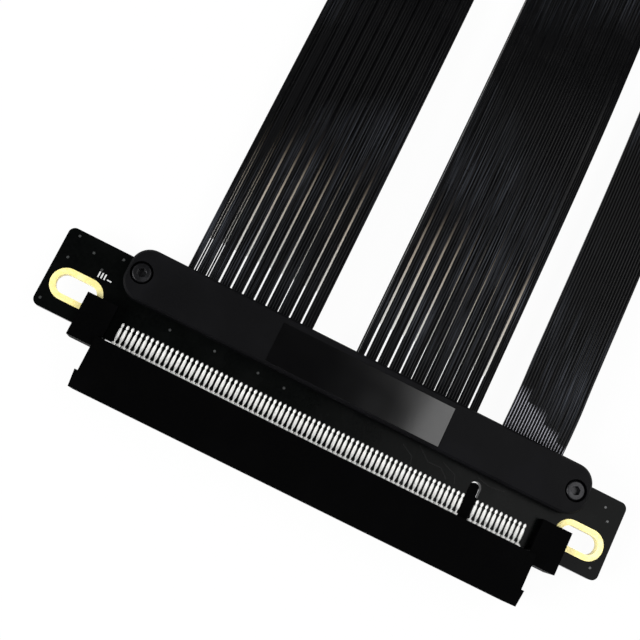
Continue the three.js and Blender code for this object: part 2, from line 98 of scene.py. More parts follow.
def mixed(tree: bpy.types.NodeTree, kind: str, factor, low, high) -> bpy.types.NodeSocket:
    """Blends two colours or two numbers.

    Args:
        tree: node tree to build in.
        kind: RGBA or FLOAT.
        factor: socket that drives the blend.
        low: socket or value at 0.
        high: socket or value at 1.

    Returns:
        The socket with the result.
    """
    node = tree.nodes.new("ShaderNodeMix")
    node.data_type = kind
    first, second = (6, 7) if kind == "RGBA" else (2, 3)
    tree.links.new(factor, node.inputs[0])
    for place, value in ((first, low), (second, high)):
        if isinstance(value, bpy.types.NodeSocket):
            tree.links.new(value, node.inputs[place])
        else:
            node.inputs[place].default_value = (*value, 1.0) if kind == "RGBA" else value
    return node.outputs[2 if kind == "RGBA" else 0]


def noise_mask(tree: bpy.types.NodeTree, coordinates, scale, low: float, high: float,
               detail: float = 2.0) -> bpy.types.NodeSocket:
    """A noise pattern stretched to run from 0 to 1 between two of its levels.

    Args:
        tree: node tree to build in.
        coordinates: vector socket.
        scale: number or socket, in waves per metre.
        low: noise level that gives 0.
        high: noise level that gives 1.
        detail: octaves of the noise.

    Returns:
        The mask's socket.
    """
    noise = tree.nodes.new("ShaderNodeTexNoise")
    noise.inputs["Detail"].default_value = detail
    tree.links.new(coordinates, noise.inputs["Vector"])
    if isinstance(scale, bpy.types.NodeSocket):
        tree.links.new(scale, noise.inputs["Scale"])
    else:
        noise.inputs["Scale"].default_value = scale
    spread = tree.nodes.new("ShaderNodeMapRange")
    spread.inputs["From Min"].default_value = low
    spread.inputs["From Max"].default_value = high
    tree.links.new(noise.outputs["Fac"], spread.inputs["Value"])
    return spread.outputs["Result"]


def grained_surface() -> bpy.types.NodeTree:
    """Fine grain over slow blotches, the base of every finish here."""
    name = "grained_surface"
    if name in bpy.data.node_groups:
        return bpy.data.node_groups[name]
    tree = new_group(
        name,
        {"Grain Scale": 3000.0, "Blotch Scale": 90.0, "Low Color": (0.0, 0.0, 0.0),
         "High Color": (1.0, 1.0, 1.0), "Low Roughness": 0.4, "High Roughness": 0.5},
        {"Color": "Color", "Roughness": "Float", "Height": "Float"})
    given, out = tree.nodes["in"], tree.nodes["out"]
    place = tree.nodes.new("ShaderNodeTexCoord").outputs["Object"]
    grain = noise_mask(tree, place, given.outputs["Grain Scale"], 0.3, 0.7)
    blotch = noise_mask(tree, place, given.outputs["Blotch Scale"], 0.35, 0.65, 3.0)
    both = mixed(tree, "FLOAT", blotch, grain, blotch)
    tree.links.new(
        mixed(tree, "RGBA", both, given.outputs["Low Color"], given.outputs["High Color"]), out.inputs["Color"])
    tree.links.new(
        mixed(tree, "FLOAT", blotch, given.outputs["Low Roughness"], given.outputs["High Roughness"]),
        out.inputs["Roughness"])
    tree.links.new(grain, out.inputs["Height"])
    return tree


@dataclass(frozen=True)
class Finish:
    """A surface finish: two close tones, two roughnesses and a fine grain."""

    name: str
    low: Rgb
    high: Rgb
    roughness: Point
    metallic: float = 0.0
    specular: float = 0.5
    grain: float = 3000.0
    blotch: float = 90.0
    bump: float = 0.1
    depth: float = 0.00002
    coat: float = 0.0

    def start(self) -> tuple[bpy.types.Material, bpy.types.Node, bpy.types.Node]:
        """Makes the material with the grain group wired to its shader.

        Returns:
            The material, its Principled shader and the group's node.
        """
        material = bpy.data.materials.new(self.name)
        material.use_nodes = True
        tree = material.node_tree
        shader = tree.nodes["Principled BSDF"]
        shader.inputs["Metallic"].default_value = self.metallic
        shader.inputs["Specular IOR Level"].default_value = self.specular
        shader.inputs["Coat Weight"].default_value = self.coat
        shader.inputs["Coat Roughness"].default_value = 0.15
        grain = tree.nodes.new("ShaderNodeGroup")
        grain.node_tree = grained_surface()
        grain.inputs["Grain Scale"].default_value = self.grain
        grain.inputs["Blotch Scale"].default_value = self.blotch
        grain.inputs["Low Color"].default_value = (*self.low, 1.0)
        grain.inputs["High Color"].default_value = (*self.high, 1.0)
        grain.inputs["Low Roughness"].default_value = self.roughness[0]
        grain.inputs["High Roughness"].default_value = self.roughness[1]
        bump = tree.nodes.new("ShaderNodeBump")
        bump.inputs["Strength"].default_value = self.bump
        bump.inputs["Distance"].default_value = self.depth
        tree.links.new(grain.outputs["Color"], shader.inputs["Base Color"])
        tree.links.new(grain.outputs["Roughness"], shader.inputs["Roughness"])
        tree.links.new(grain.outputs["Height"], bump.inputs["Height"])
        tree.links.new(bump.outputs["Normal"], shader.inputs["Normal"])
        return material, shader, grain

    def material(self) -> bpy.types.Material:
        """The finish's material, made once."""
        return bpy.data.materials.get(self.name) or self.start()[0]


def streaked_film() -> bpy.types.NodeTree:
    """Painted sheen: fine pale lines along Y, stronger in some patches than in others, standing in for highlights on
    the film.
    """
    name = "streaked_film"
    if name in bpy.data.node_groups:
        return bpy.data.node_groups[name]
    tree = new_group(name, {"Color": (0.0, 0.0, 0.0), "Sheen Color": (0.1, 0.1, 0.12)}, {"Color": "Color"})
    given, out = tree.nodes["in"], tree.nodes["out"]
    place = tree.nodes.new("ShaderNodeTexCoord").outputs["Object"]
    drawn = tree.nodes.new("ShaderNodeMapping")
    drawn.inputs["Scale"].default_value = (1.0, 0.012, 0.03)
    tree.links.new(place, drawn.inputs["Vector"])
    # Painted highlight lines along the film, shown more strongly in some patches.
    sheen_lines = noise_mask(tree, drawn.outputs["Vector"], 5200.0, 0.5, 0.75, 1.0)
    patches = noise_mask(tree, place, 26.0, 0.45, 0.8, 1.0)
    strength = tree.nodes.new("ShaderNodeMath")
    strength.operation = "MULTIPLY"
    tree.links.new(sheen_lines, strength.inputs[0])
    tree.links.new(patches, strength.inputs[1])
    tree.links.new(
        mixed(tree, "RGBA", strength.outputs[0], given.outputs["Color"], given.outputs["Sheen Color"]),
        out.inputs["Color"])
    return tree


@dataclass(frozen=True)
class PaintedLightFilmFinish(Finish):
    """Black ribbon film with painted light set by a per-vertex attribute: a pale glow on the webs and a sheen on
    crests.
    """

    # Colour of the painted sheen lines on the film (painted highlight).
    sheen_streak: Rgb = (0.075, 0.082, 0.1)
    # Colour stops of the painted light: on wide ribbons the webs' pale glow stands in for light shining through
    # them, on the narrow ribbon its crest sheen.
    painted_light_ramp: tuple[tuple[float, tuple[float, float, float, float]], ...] = (
        (0.0, (0.06, 0.05, 0.045, 0.0)), (0.2, (0.12, 0.10, 0.08, 1.0)),
        (0.5, (0.55, 0.48, 0.40, 1.0)), (1.0, (0.95, 0.94, 0.90, 1.0)))

    def material(self) -> bpy.types.Material:
        """The finish's material, made once."""
        if self.name in bpy.data.materials:
            return bpy.data.materials[self.name]
        material, shader, grain = self.start()
        tree = material.node_tree
        # Per-vertex painted light: where it is high, the ramp's colour covers the film's own colour.
        painted_light = tree.nodes.new("ShaderNodeAttribute")
        painted_light.attribute_name = "painted_light"
        ramp = tree.nodes.new("ShaderNodeValToRGB")
        while len(ramp.color_ramp.elements) < len(self.painted_light_ramp):
            ramp.color_ramp.elements.new(0.5)
        for element, (place, color) in zip(ramp.color_ramp.elements, self.painted_light_ramp):
            element.position = place
            element.color = color
        tree.links.new(painted_light.outputs["Fac"], ramp.inputs["Fac"])
        film = tree.nodes.new("ShaderNodeGroup")
        film.node_tree = streaked_film()
        film.inputs["Sheen Color"].default_value = (*self.sheen_streak, 1.0)
        tree.links.new(grain.outputs["Color"], film.inputs["Color"])
        tree.links.new(
            mixed(tree, "RGBA", ramp.outputs["Alpha"], film.outputs["Color"], ramp.outputs["Color"]),
            shader.inputs["Base Color"])
        return material


MOULDED_BLACK = Finish("moulded_black", (0.0003, 0.0003, 0.0004), (0.0009, 0.0009, 0.001), (0.5, 0.62),
                       specular=0.015, grain=2500, bump=0.15)
SOLDER_MASK = Finish("black_solder_mask", (0.001, 0.0013, 0.0012), (0.002, 0.0023, 0.0022), (0.22, 0.3),
                     specular=0.05, grain=1500, blotch=160, bump=0.12)
MASKED_TRACE = Finish("masked_trace", (0.002, 0.0022, 0.0022), (0.005, 0.0052, 0.0052), (0.3, 0.42), specular=0.1,
                      grain=1500, bump=0.1)
VIA_RING = Finish("masked_via", (0.02, 0.022, 0.022), (0.05, 0.052, 0.052), (0.3, 0.42), grain=1500, bump=0.1)
MATT_COVER = Finish("fine_matt_cover", (0.0008, 0.0008, 0.001), (0.0032, 0.0032, 0.004), (0.5, 0.6),
                    specular=0.07, grain=5200, bump=0.35)
GLOSSY_LABEL = Finish("glossy_black_label", (0.0003, 0.0003, 0.0004), (0.0008, 0.0008, 0.001), (0.1, 0.14),
                      specular=0.5, grain=900, bump=0.02)
SOLDERED_TIN = Finish("soldered_tin", (0.93, 0.92, 0.89), (0.98, 0.98, 0.96), (0.22, 0.38),
                      metallic=0.05, grain=3800, blotch=900, bump=0.2)
PALE_GOLD = Finish("pale_gold", (0.98, 0.82, 0.26), (1.0, 0.91, 0.45), (0.3, 0.42),
                   metallic=0.1, grain=2600, blotch=350, bump=0.15)
CONTACT_GOLD = Finish("contact_gold", (0.72, 0.50, 0.20), (0.85, 0.62, 0.28), (0.25, 0.36),
                      metallic=1.0, grain=2600, blotch=500, bump=0.1)
BLACK_OXIDE = Finish("black_oxide", (0.006, 0.006, 0.007), (0.014, 0.014, 0.016), (0.28, 0.42),
                     metallic=0.6, grain=2600, blotch=500, bump=0.2)
ZINC = Finish("zinc_plate", (0.42, 0.42, 0.41), (0.58, 0.58, 0.56), (0.3, 0.5),
              metallic=1.0, grain=2200, blotch=500, bump=0.2)
WHITE_INK = Finish("white_ink", (0.55, 0.56, 0.55), (0.75, 0.76, 0.75), (0.5, 0.6), grain=4000, bump=0.2)
# Webs painted pale near the slits and fading to black: painted light standing in for light shining through them; the
# film also carries painted sheen lines.
WIDE_RIBBON = PaintedLightFilmFinish("ribbon_film", (0.0006, 0.0006, 0.0009), (0.002, 0.002, 0.0024), (0.2, 0.3),
                           specular=0.1, grain=1400, blotch=120, bump=0.1)
# Its ramp paints a grey-blue sheen on the crest lines before the slanted fold line (painted highlight).
NARROW_RIBBON = PaintedLightFilmFinish("narrow_ribbon_film", (0.0008, 0.0008, 0.001), (0.002, 0.002, 0.0024), (0.3, 0.42),
                             specular=0.12, grain=1400, blotch=120, bump=0.1,
                             painted_light_ramp=((0.0, (0.3, 0.3, 0.34, 0.0)), (1.0, (0.5, 0.5, 0.56, 1.0))))


# Meshes


def bevelled(bm: bmesh.types.BMesh, edges: Iterable[bmesh.types.BMEdge], width: float, segments: int = 2) -> None:
    """Rounds some edges.

    Args:
        bm: mesh to work on.
        edges: edges to round.
        width: size of the rounding.
        segments: its number of steps.
    """
    bmesh.ops.bevel(bm, geom=list(edges), offset=width, offset_type="OFFSET", segments=segments,
                    profile=0.5, affect="EDGES", clamp_overlap=True, material=-1)


def block(bm: bmesh.types.BMesh, x: Point, y: Point, z: Point, ease: float = 0.0) -> list[bmesh.types.BMVert]:
    """Adds a box with eased edges.

    Args:
        bm: mesh to add to.
        x: its two ends along X.
        y: its two ends along Y.
        z: its two ends along Z.
        ease: size of the rounding of its edges.

    Returns:
        Its corners, where it isn't eased.
    """
    verts = bmesh.ops.create_cube(bm, size=1.0)["verts"]
    bmesh.ops.scale(bm, vec=(x[1] - x[0], y[1] - y[0], z[1] - z[0]), verts=verts)
    bmesh.ops.translate(bm, vec=((x[0] + x[1]) / 2, (y[0] + y[1]) / 2, (z[0] + z[1]) / 2), verts=verts)
    if ease:
        bevelled(bm, {edge for vert in verts for edge in vert.link_edges}, ease, 1)
    return verts


def smooth_shading(bm: bmesh.types.BMesh, sharp: float = 35.0) -> None:
    """Shades smoothly across every edge that turns less than the given degrees."""
    for face in bm.faces:
        face.smooth = True
    for edge in bm.edges:
        edge.smooth = len(edge.link_faces) == 2 and edge.calc_face_angle(0.0) < math.radians(sharp)


def finished(bm: bmesh.types.BMesh, name: str, finish: Finish,
             nodes: Sequence[str] = (), sharp: float = 35.0) -> bpy.types.Object:
    """Turns a mesh in metres into a piece that rides on the cable.

    Args:
        bm: the mesh, which is freed.
        name: the piece's name.
        finish: its finish.
        nodes: CAD nodes that it stands for.
        sharp: angle in degrees from which an edge stays sharp.

    Returns:
        The piece.
    """
    smooth_shading(bm, sharp)
    mesh = bpy.data.meshes.new(name)
    bm.to_mesh(mesh)
    bm.free()
    mesh.materials.append(finish.material())
    piece = bpy.data.objects.new(name, mesh)
    bpy.context.scene.collection.objects.link(piece)
    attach(piece, "root")
    if nodes:
        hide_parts(*nodes)
    return piece


def in_metres(bm: bmesh.types.BMesh) -> bmesh.types.BMesh:
    """Brings a mesh from millimetres to metres, with its faces pointing out."""
    bmesh.ops.scale(bm, vec=(MM, MM, MM), verts=bm.verts)
    bmesh.ops.recalc_face_normals(bm, faces=bm.faces)
    return bm


def eased_copy(node: str, name: str, finish: Finish, ease: float, shortest: float = 1.2,
               segments: int = 2) -> bpy.types.Object:
    """Copies a rigid CAD node with its long sharp edges rounded.

    Args:
        node: the CAD node that it stands for.
        name: the copy's name.
        finish: its finish.
        ease: size of the rounding in millimetres.
        shortest: edges shorter than this many millimetres stay sharp.
        segments: steps of the rounding.

    Returns:
        The copy.
    """
    bm = bmesh.new()
    bm.from_mesh(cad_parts[node].data)
    bmesh.ops.remove_doubles(bm, verts=bm.verts, dist=1e-6)
    sharp = [edge for edge in bm.edges
             if edge.calc_length() > shortest * MM and edge.calc_face_angle(0.0) > math.radians(30)]
    bevelled(bm, sharp, ease * MM, segments)
    return finished(bm, name, finish, [node], 22.0)


# Ribbons


@dataclass
class Route:
    """How a ribbon comes down from one pair of covers, runs along the table and rises to the other."""

    exit_height: float
    lie: float
    drop: Sequence[Point]
    start: float = 14.375
    end: float = 213.875
    inside: float = 6.4

    def height(self, y: float) -> float:
        """Height of the ribbon's middle.

        Args:
            y: place along the cable, in millimetres.

        Returns:
            Its height over the table, in millimetres.
        """
        away = min(y - self.start, self.end - y)
        points = [(-self.inside, 1.0), *self.drop]
        if away <= 0:
            return self.exit_height
        if away >= points[-1][0]:
            return self.lie
        after = next(i for i, (place, _) in enumerate(points) if place > away)
        around = [points[max(0, min(len(points) - 1, after + i))] for i in (-2, -1, 0, 1)]
        (a, fa), (b, fb), (c, fc), (d, fd) = around
        t, span = (away - b) / (c - b), c - b
        lead = (fc - fa) / (c - a) * span
        tail = (fd - fb) / (d - b) * span
        share = (fb * (2 * t**3 - 3 * t**2 + 1) + lead * (t**3 - 2 * t**2 + t)
                 + fc * (3 * t**2 - 2 * t**3) + tail * (t**3 - t**2))
        return self.lie + share * (self.exit_height - self.lie)

    def stations(self) -> list[float]:
        """Places along the cable where the ribbon has a ring of points."""
        near = [self.start - self.inside, self.start]
        near += [self.start + step for step in (2, 4, 6.5, 9, 12, 15, 18, 22, 27, 32, 37, 43, 49, 56, 63, 70, 77, 84, 90)]
        middle = (self.start + self.end) / 2
        return [*near, middle, *(2 * middle - y for y in reversed(near))]


WIDE_DROP = [(0, 1), (8, 1), (20, 0.995), (34, 0.97), (46, 0.91), (58, 0.79), (66, 0.65), (74, 0.44), (82, 0.2),
             (89, 0.05), (94, 0.005), (99.75, 0)]
NARROW_DROP = [(0, 1), (4, 1.06), (9, 1.08), (14, 1.0), (19, 0.97), (36, 0.86), (50, 0.74), (62, 0.56), (72, 0.36),
               (81, 0.16), (88, 0.045), (94, 0.005), (99.75, 0)]
UPPER_WIDE = Route(5.95, 1.65, WIDE_DROP)
LOWER_WIDE = Route(2.85, 0.5, WIDE_DROP)
UPPER_NARROW = Route(5.95, 0.5, NARROW_DROP)


def ridged(edges: Sequence[float], crest: float, root: float, samples: int) -> list[Point]:
    """Outline of a ribbon's section with a ridge between every two edges.

    Args:
        edges: places across the ribbon where one ridge meets the next.
        crest: half the thickness at a ridge.
        root: half the thickness between ridges.
        samples: straight pieces in each ridge.

    Returns:
        The outline as (across, height) points, once round.
    """
    top = [
        (a + (b - a) * i / samples, root + (crest - root) * math.sin(math.pi * i / samples) ** 0.35)
        for a, b in zip(edges, edges[1:]) for i in range(samples)
    ] + [(edges[-1], root)]
    return [*top, *((x, -z) for x, z in reversed(top))]


@dataclass
class Ribbon:
    """One ribbon from the socket end to the plug: parallel strips with see-through slits near the covers."""

    name: str
    middle: float
    width: float
    route: Route
    finish: Finish
    thickness: float = 0.9
    slit_ends: float = 21.5
    # Distance from the covers by which the painted glow on the webs has faded out.
    web_fades: float = 48.0
    sheen: float = 0.0
    strips: list[list[float]] = field(default_factory=list)

    def bar(self, bm: bmesh.types.BMesh, outline: Sequence[Point], y0: float, y1: float) -> list[bmesh.types.BMFace]:
        """Draws an outline out along the cable.

        Args:
            bm: mesh to add to.
            outline: (across, height) points of the section.
            y0: where it starts.
            y1: where it ends.

        Returns:
            The new faces.
        """
        before = set(bm.faces)
        face = bm.faces.new([bm.verts.new((self.middle + x, y0, z)) for x, z in outline])
        grown = bmesh.ops.extrude_face_region(bm, geom=[face])["geom"]
        bmesh.ops.translate(bm, vec=(0, y1 - y0, 0), verts=[v for v in grown if isinstance(v, bmesh.types.BMVert)])
        return [f for f in bm.faces if f not in before]

    def fold(self, shift: float) -> tuple[Point, Point]:
        """A point on the slanted line where the ribbon turns flat and its painted sheen ends, moved along the cable,
        and its normal.
        """
        return (30.1, 24.8 - shift), (0.482, 0.876)

    def before_fold(self, place: Vector) -> bool:
        """Whether a point lies between the covers and the slanted line."""
        (x, y), (nx, ny) = self.fold(2.8)
        return (place.x - x) * nx + (place.y - y) * ny < 0

    def gaps(self) -> list[Point]:
        """Places and widths of the gaps between strips, across the ribbon."""
        return [(a[-1], b[0]) for a, b in zip(self.strips, self.strips[1:])]

    def build(self) -> bpy.types.Object:
        """Builds the ribbon.

        Returns:
            The piece.
        """
        bm = bmesh.new()
        y0, y1 = self.route.stations()[0], self.route.stations()[-1]
        half = self.thickness / 2
        for edges in self.strips:
            self.bar(bm, ridged(edges, half, 0.62 * half, 6), y0, y1)
        # Painted light per vertex: a pale glow on the webs near the slits, and a painted sheen on the narrow
        # ribbon's crests.
        painted_light = bm.verts.layers.float.new("painted_light")
        webs = set()
        for a, b in self.gaps():
            flat = [(a - 0.1, 0.3 * half), (b + 0.1, 0.3 * half), (b + 0.1, -0.3 * half), (a - 0.1, -0.3 * half)]
            ends = self.slit_ends, self.route.start + self.route.end - self.slit_ends
            webs |= {vert for face in self.bar(bm, flat, *ends) for vert in face.verts}
        for vert in webs:
            vert[painted_light] = -1.0
        for y in self.route.stations()[1:-1]:
            bmesh.ops.bisect_plane(bm, geom=[*bm.verts, *bm.edges, *bm.faces], dist=1e-5,
                                   plane_co=(0, y, 0), plane_no=(0, 1, 0))
        for shift in (0.0, 3.0) if self.sheen else ():
            bmesh.ops.bisect_plane(bm, geom=[*bm.verts, *bm.edges, *bm.faces], dist=1e-5,
                                   plane_co=(*self.fold(shift)[0], 0), plane_no=(*self.fold(shift)[1], 0))
        fade = self.web_fades - self.slit_ends
        for vert in bm.verts:
            # Painted highlight: crest centres between the covers and the fold line get the sheen colour.
            if self.sheen and vert.co.z > 0.999 * half and self.before_fold(vert.co):
                vert[painted_light] = self.sheen
            # Webs are painted pale next to the slits and fade to black along the cable: painted light shining
            # through them.
            away = min(vert.co.y, self.route.start + self.route.end - vert.co.y)
            if vert[painted_light] < -0.5:
                vert[painted_light] = max(0.0, min(1.0, 1 - (away - self.slit_ends) / fade))
            vert.co.z += self.route.height(vert.co.y)
        nodes = [f"{self.name}_ribbon"]
        piece = finished(in_metres(bm), f"{self.name}_ribbon_strips", self.finish, nodes, 60.0)
        return piece

    def path(self) -> list[tuple[float, float, float]]:
        """The ribbon's middle line in metres."""
        return [(self.middle * MM, y * MM, self.route.height(y) * MM) for y in self.route.stations()]

    def declare(self, piece: bpy.types.Object, plug: Sequence[bpy.types.Object]) -> None:
        """Args:
            piece: the ribbon; not used.
            plug: pieces at its far end; not used.
        """
        self.path()


def wide_strips(width: float, gaps: Sequence[Point]) -> list[list[float]]:
    """Edges of the ridges in each strip of a wide ribbon.

    Args:
        width: the ribbon's width.
        gaps: place of each gap from the ribbon's middle, and its width.

    Returns:
        For each strip, the places across the ribbon where its ridges meet.
    """
    starts = [-width / 2, *(place + gap / 2 for place, gap in gaps)]
    ends = [*(place - gap / 2 for place, gap in gaps), width / 2]
    return [[a, b] if b - a < 1.0 else [a + (b - a) * share for share in (0.0, 0.3, 0.55, 0.8, 1.0)]
            for a, b in zip(starts, ends) if b - a > 0.2]


FIRST_GAP, GAP_PITCH = 1.45, 2.42
WIDE_RIBBONS = (
    ("left", -23.05, 25.6, (-0.24, -0.24, 0.36, 0.34, 0.34, 0.32, 0.32, 0.16, 0.3, 0.36)),
    ("middle", 11.7, 25.0, (0.42, 0.46, 0.42, 0.36, 0.2, 0.16, 0.22, 0.16, 0.22, 0.45)),
)
# A negative width stands for two hairline gaps, that far to each side of the gap's place.
HAIRLINE = 0.15
# A slit of the lower layer lies a little further from the place over which both layers run true.
TRUE_AT, LOWER_SPREAD = -21.7, 0.0154


def ribbons() -> list[Ribbon]:
    """The five ribbons, left to right and upper before lower."""
    made = []
    for layer, route, slit_ends, web_fades in (
            (Layer.UPPER, UPPER_WIDE, 21.5, 48.0), (Layer.LOWER, LOWER_WIDE, 40.0, 50.0)):
        for name, middle, width, gap_widths in WIDE_RIBBONS:
            places = [(FIRST_GAP + GAP_PITCH * i - width / 2, gap) for i, gap in enumerate(gap_widths)]
            gaps = [part for place, gap in places
                    for part in ([(place, gap)] if gap > 0 else [(place + gap, HAIRLINE), (place - gap, HAIRLINE)])]
            if layer is Layer.LOWER:
                gaps = [(place + LOWER_SPREAD * (middle + place - TRUE_AT), gap) for place, gap in gaps]
            made.append(Ribbon(f"{name}_{layer.value}", middle, width, route, WIDE_RIBBON, slit_ends=slit_ends,
                               web_fades=web_fades, strips=wide_strips(width, gaps)))
    width, ridges = 12.75, 22
    edges = [width * (i / ridges - 0.5) for i in range(ridges + 1)]
    made.append(Ribbon("narrow_upper", 36.0, width, UPPER_NARROW, NARROW_RIBBON, sheen=1.0, strips=[edges]))
    return made


# Socket end


@dataclass
class ContactRow:
    """A row of contacts: gold beams in the card slot and soldered tails on the board."""

    pitch: float = 1.0
    groups: tuple[tuple[str, float, int], ...] = (("long", -41.5, 71), ("short", 31.5, 11))
    board_top: float = 5.2
    mirror_height: float = 8.8
    housing_back: float = -4.275

    def solder(self, bm: bmesh.types.BMesh, width: float = 0.62, y0: float = -3.25, y1: float = 0.2) -> None:
        """Adds the solder over a tail: a long drop, a pinch and a round bead at the end."""
        verts = bmesh.ops.create_grid(bm, x_segments=4, y_segments=16, size=0.5)["verts"]
        for vert in verts:
            u, v = vert.co.x * 2, vert.co.y + 0.5
            drop = max(0.0, 1 - abs((v - 0.37) / 0.39) ** 3.5) ** 0.4
            bead = 0.9 * math.sqrt(max(0.0, 1 - ((v - 0.87) / 0.13) ** 2))
            swell = max(drop, bead, 0.42 if v < 0.9 else 0.25)
            crown = math.sqrt(max(0.0, 1 - 0.85 * u * u))
            vert.co = Vector((u * width / 2 * swell, y0 + (y1 - y0) * v, self.board_top + 0.38 * crown * swell))
        rim = [edge for edge in bm.edges if edge.is_boundary and edge.verts[0] in set(verts)]
        skirt = bmesh.ops.extrude_edge_only(bm, edges=rim)["geom"]
        for vert in (g for g in skirt if isinstance(g, bmesh.types.BMVert)):
            vert.co.z = self.board_top
        low = [g for g in skirt if isinstance(g, bmesh.types.BMEdge) and g.is_boundary]
        bmesh.ops.edgeloop_fill(bm, edges=low)

    def tail(self) -> bpy.types.Mesh:
        """One tail on the upper side at x = 0."""
        bm = bmesh.new()
        z = self.board_top
        block(bm, (-0.42, 0.42), (self.housing_back, self.housing_back + 0.62), (z, z + 0.35), 0.04)
        block(bm, (-0.16, 0.16), (self.housing_back + 0.5, -2.9), (z, z + 0.2), 0.04)
        self.solder(bm)
        bmesh.ops.recalc_face_normals(bm, faces=bm.faces)
        mesh = bpy.data.meshes.new("tail")
        bm.to_mesh(mesh)
        bm.free()
        return mesh

    def beam(self) -> bpy.types.Mesh:
        """One beam in the upper half of the card slot at x = 0, bent towards the card."""
        bm = bmesh.new()
        z = self.board_top
        block(bm, (-0.28, 0.28), (-12.0, -5.0), (z, z + 0.25), 0.05)
        cuts = [vert for vert in bm.verts if vert.co.y < -11]
        bmesh.ops.translate(bm, vec=(0, 0, -0.05), verts=cuts)
        mesh = bpy.data.meshes.new("beam")
        bm.to_mesh(mesh)
        bm.free()
        return mesh

    def row(self, one: bpy.types.Mesh, start: float, count: int, layer: Layer) -> bmesh.types.BMesh:
        """Repeats one contact along the row.

        Args:
            one: mesh of the contact on the upper side.
            start: place of the first.
            count: how many.
            layer: side of the board.

        Returns:
            The row's mesh in millimetres.
        """
        bm = bmesh.new()
        for i in range(count):
            before = len(bm.verts)
            bm.from_mesh(one)
            bm.verts.ensure_lookup_table()
            bmesh.ops.translate(bm, vec=(start + i * self.pitch, 0, 0), verts=bm.verts[before:])
        if layer is Layer.LOWER:
            bmesh.ops.scale(bm, vec=(1, 1, -1), verts=bm.verts)
            bmesh.ops.translate(bm, vec=(0, 0, self.mirror_height), verts=bm.verts)
        return bm

    def build(self) -> list[bpy.types.Object]:
        """Builds all rows.

        Returns:
            The pieces.
        """
        tail, beam = self.tail(), self.beam()
        made = []
        for layer in Layer:
            for name, start, count in self.groups:
                node = f"{layer.value}_contacts_{name}"
                for kind, mesh, finish, slot in (("tails", tail, SOLDERED_TIN, Slot.TIN),
                                                 ("beams", beam, CONTACT_GOLD, Slot.GOLD)):
                    bm = in_metres(self.row(mesh, start, count, layer))
                    made.append(finished(bm, f"{node}_{kind}", finish, [node], 50.0))
        return made


@dataclass
class BoardMarks:
    """Small things on the socket board: vias, traces under the mask and plain ink ticks."""

    top: float = 5.2
    vias: tuple[Point, ...] = (
        (-55.92, 10.9), (-56.02, 6.47), (-46.85, 10.6), (-49.52, 7.14), (-52.23, 9.27), (-56.98, -2.32),
        (-33.55, 2.88), (-24.52, 3.07), (-10.14, 2.71), (-15.65, 3.04), (56.06, -1.81), (54.23, 9.69),
        (55.65, 7.45))
    traces: tuple[tuple[Point, ...], ...] = (
        ((14.3, 3.3), (16.7, 2.0), (17.2, 0.2)),
        ((17.2, 4.5), (19.9, 2.4), (22.6, 2.5), (24.3, 1.0)),
        ((22.5, 3.6), (25.5, 2.5), (26.1, 0.9)),
        ((29.7, 3.9), (32.5, 3.4), (35.5, 3.8)),
    )
    ticks: tuple[tuple[float, float, float, float], ...] = (
        (-49.6, 6.2, 0.25, 1.1), (-49.0, 6.2, 0.25, 1.1), (-48.4, 6.2, 0.25, 1.1), (-47.4, 5.9, 0.9, 0.22))

    def via_rings(self) -> bpy.types.Object:
        """Raised rings round the plated holes, under the solder mask."""
        bm = bmesh.new()
        for x, y in self.vias:
            before = set(bm.verts)
            bmesh.ops.create_cone(bm, cap_ends=True, segments=16, radius1=0.26, radius2=0.22, depth=0.04)
            new = [vert for vert in bm.verts if vert not in before]
            cap = max({f for vert in new for f in vert.link_faces}, key=lambda f: f.calc_center_median().z)
            bmesh.ops.inset_region(bm, faces=[cap], thickness=0.12)
            sunk = bmesh.ops.extrude_face_region(bm, geom=[cap])["geom"]
            bmesh.ops.translate(bm, vec=(0, 0, -0.03), verts=[g for g in sunk if isinstance(g, bmesh.types.BMVert)])
            new = [vert for vert in bm.verts if vert not in before]
            bmesh.ops.translate(bm, vec=(x, y, self.top + 0.02), verts=new)
        return finished(in_metres(bm), "board_vias", VIA_RING)

    def trace_ridges(self) -> bpy.types.Object:
        """Low ridges over a few traces right of the board's middle."""
        bm = bmesh.new()
        for line in self.traces:
            for (x0, y0), (x1, y1) in zip(line, line[1:]):
                before = set(bm.verts)
                long, turn = math.hypot(x1 - x0, y1 - y0), math.atan2(y1 - y0, x1 - x0)
                block(bm, (0, long), (-0.09, 0.09), (self.top, self.top + 0.03))
                new = [vert for vert in bm.verts if vert not in before]
                bmesh.ops.rotate(bm, cent=(0, 0, 0), matrix=Matrix.Rotation(turn, 3, "Z"), verts=new)
                bmesh.ops.translate(bm, vec=(x0, y0, 0), verts=new)
        return finished(in_metres(bm), "board_traces", MASKED_TRACE)

    def ink(self) -> bpy.types.Object:
        """Plain ink ticks beside the left mounting slot."""
        bm = bmesh.new()
        for x, y, length, width in self.ticks:
            block(bm, (x - length / 2, x + length / 2), (y - width / 2, y + width / 2), (self.top, self.top + 0.02))
        return finished(in_metres(bm), "board_ink_ticks", WHITE_INK)

    def build(self) -> list[bpy.types.Object]:
        """Builds the marks and returns their pieces."""
        return [self.via_rings(), self.trace_ridges(), self.ink()]


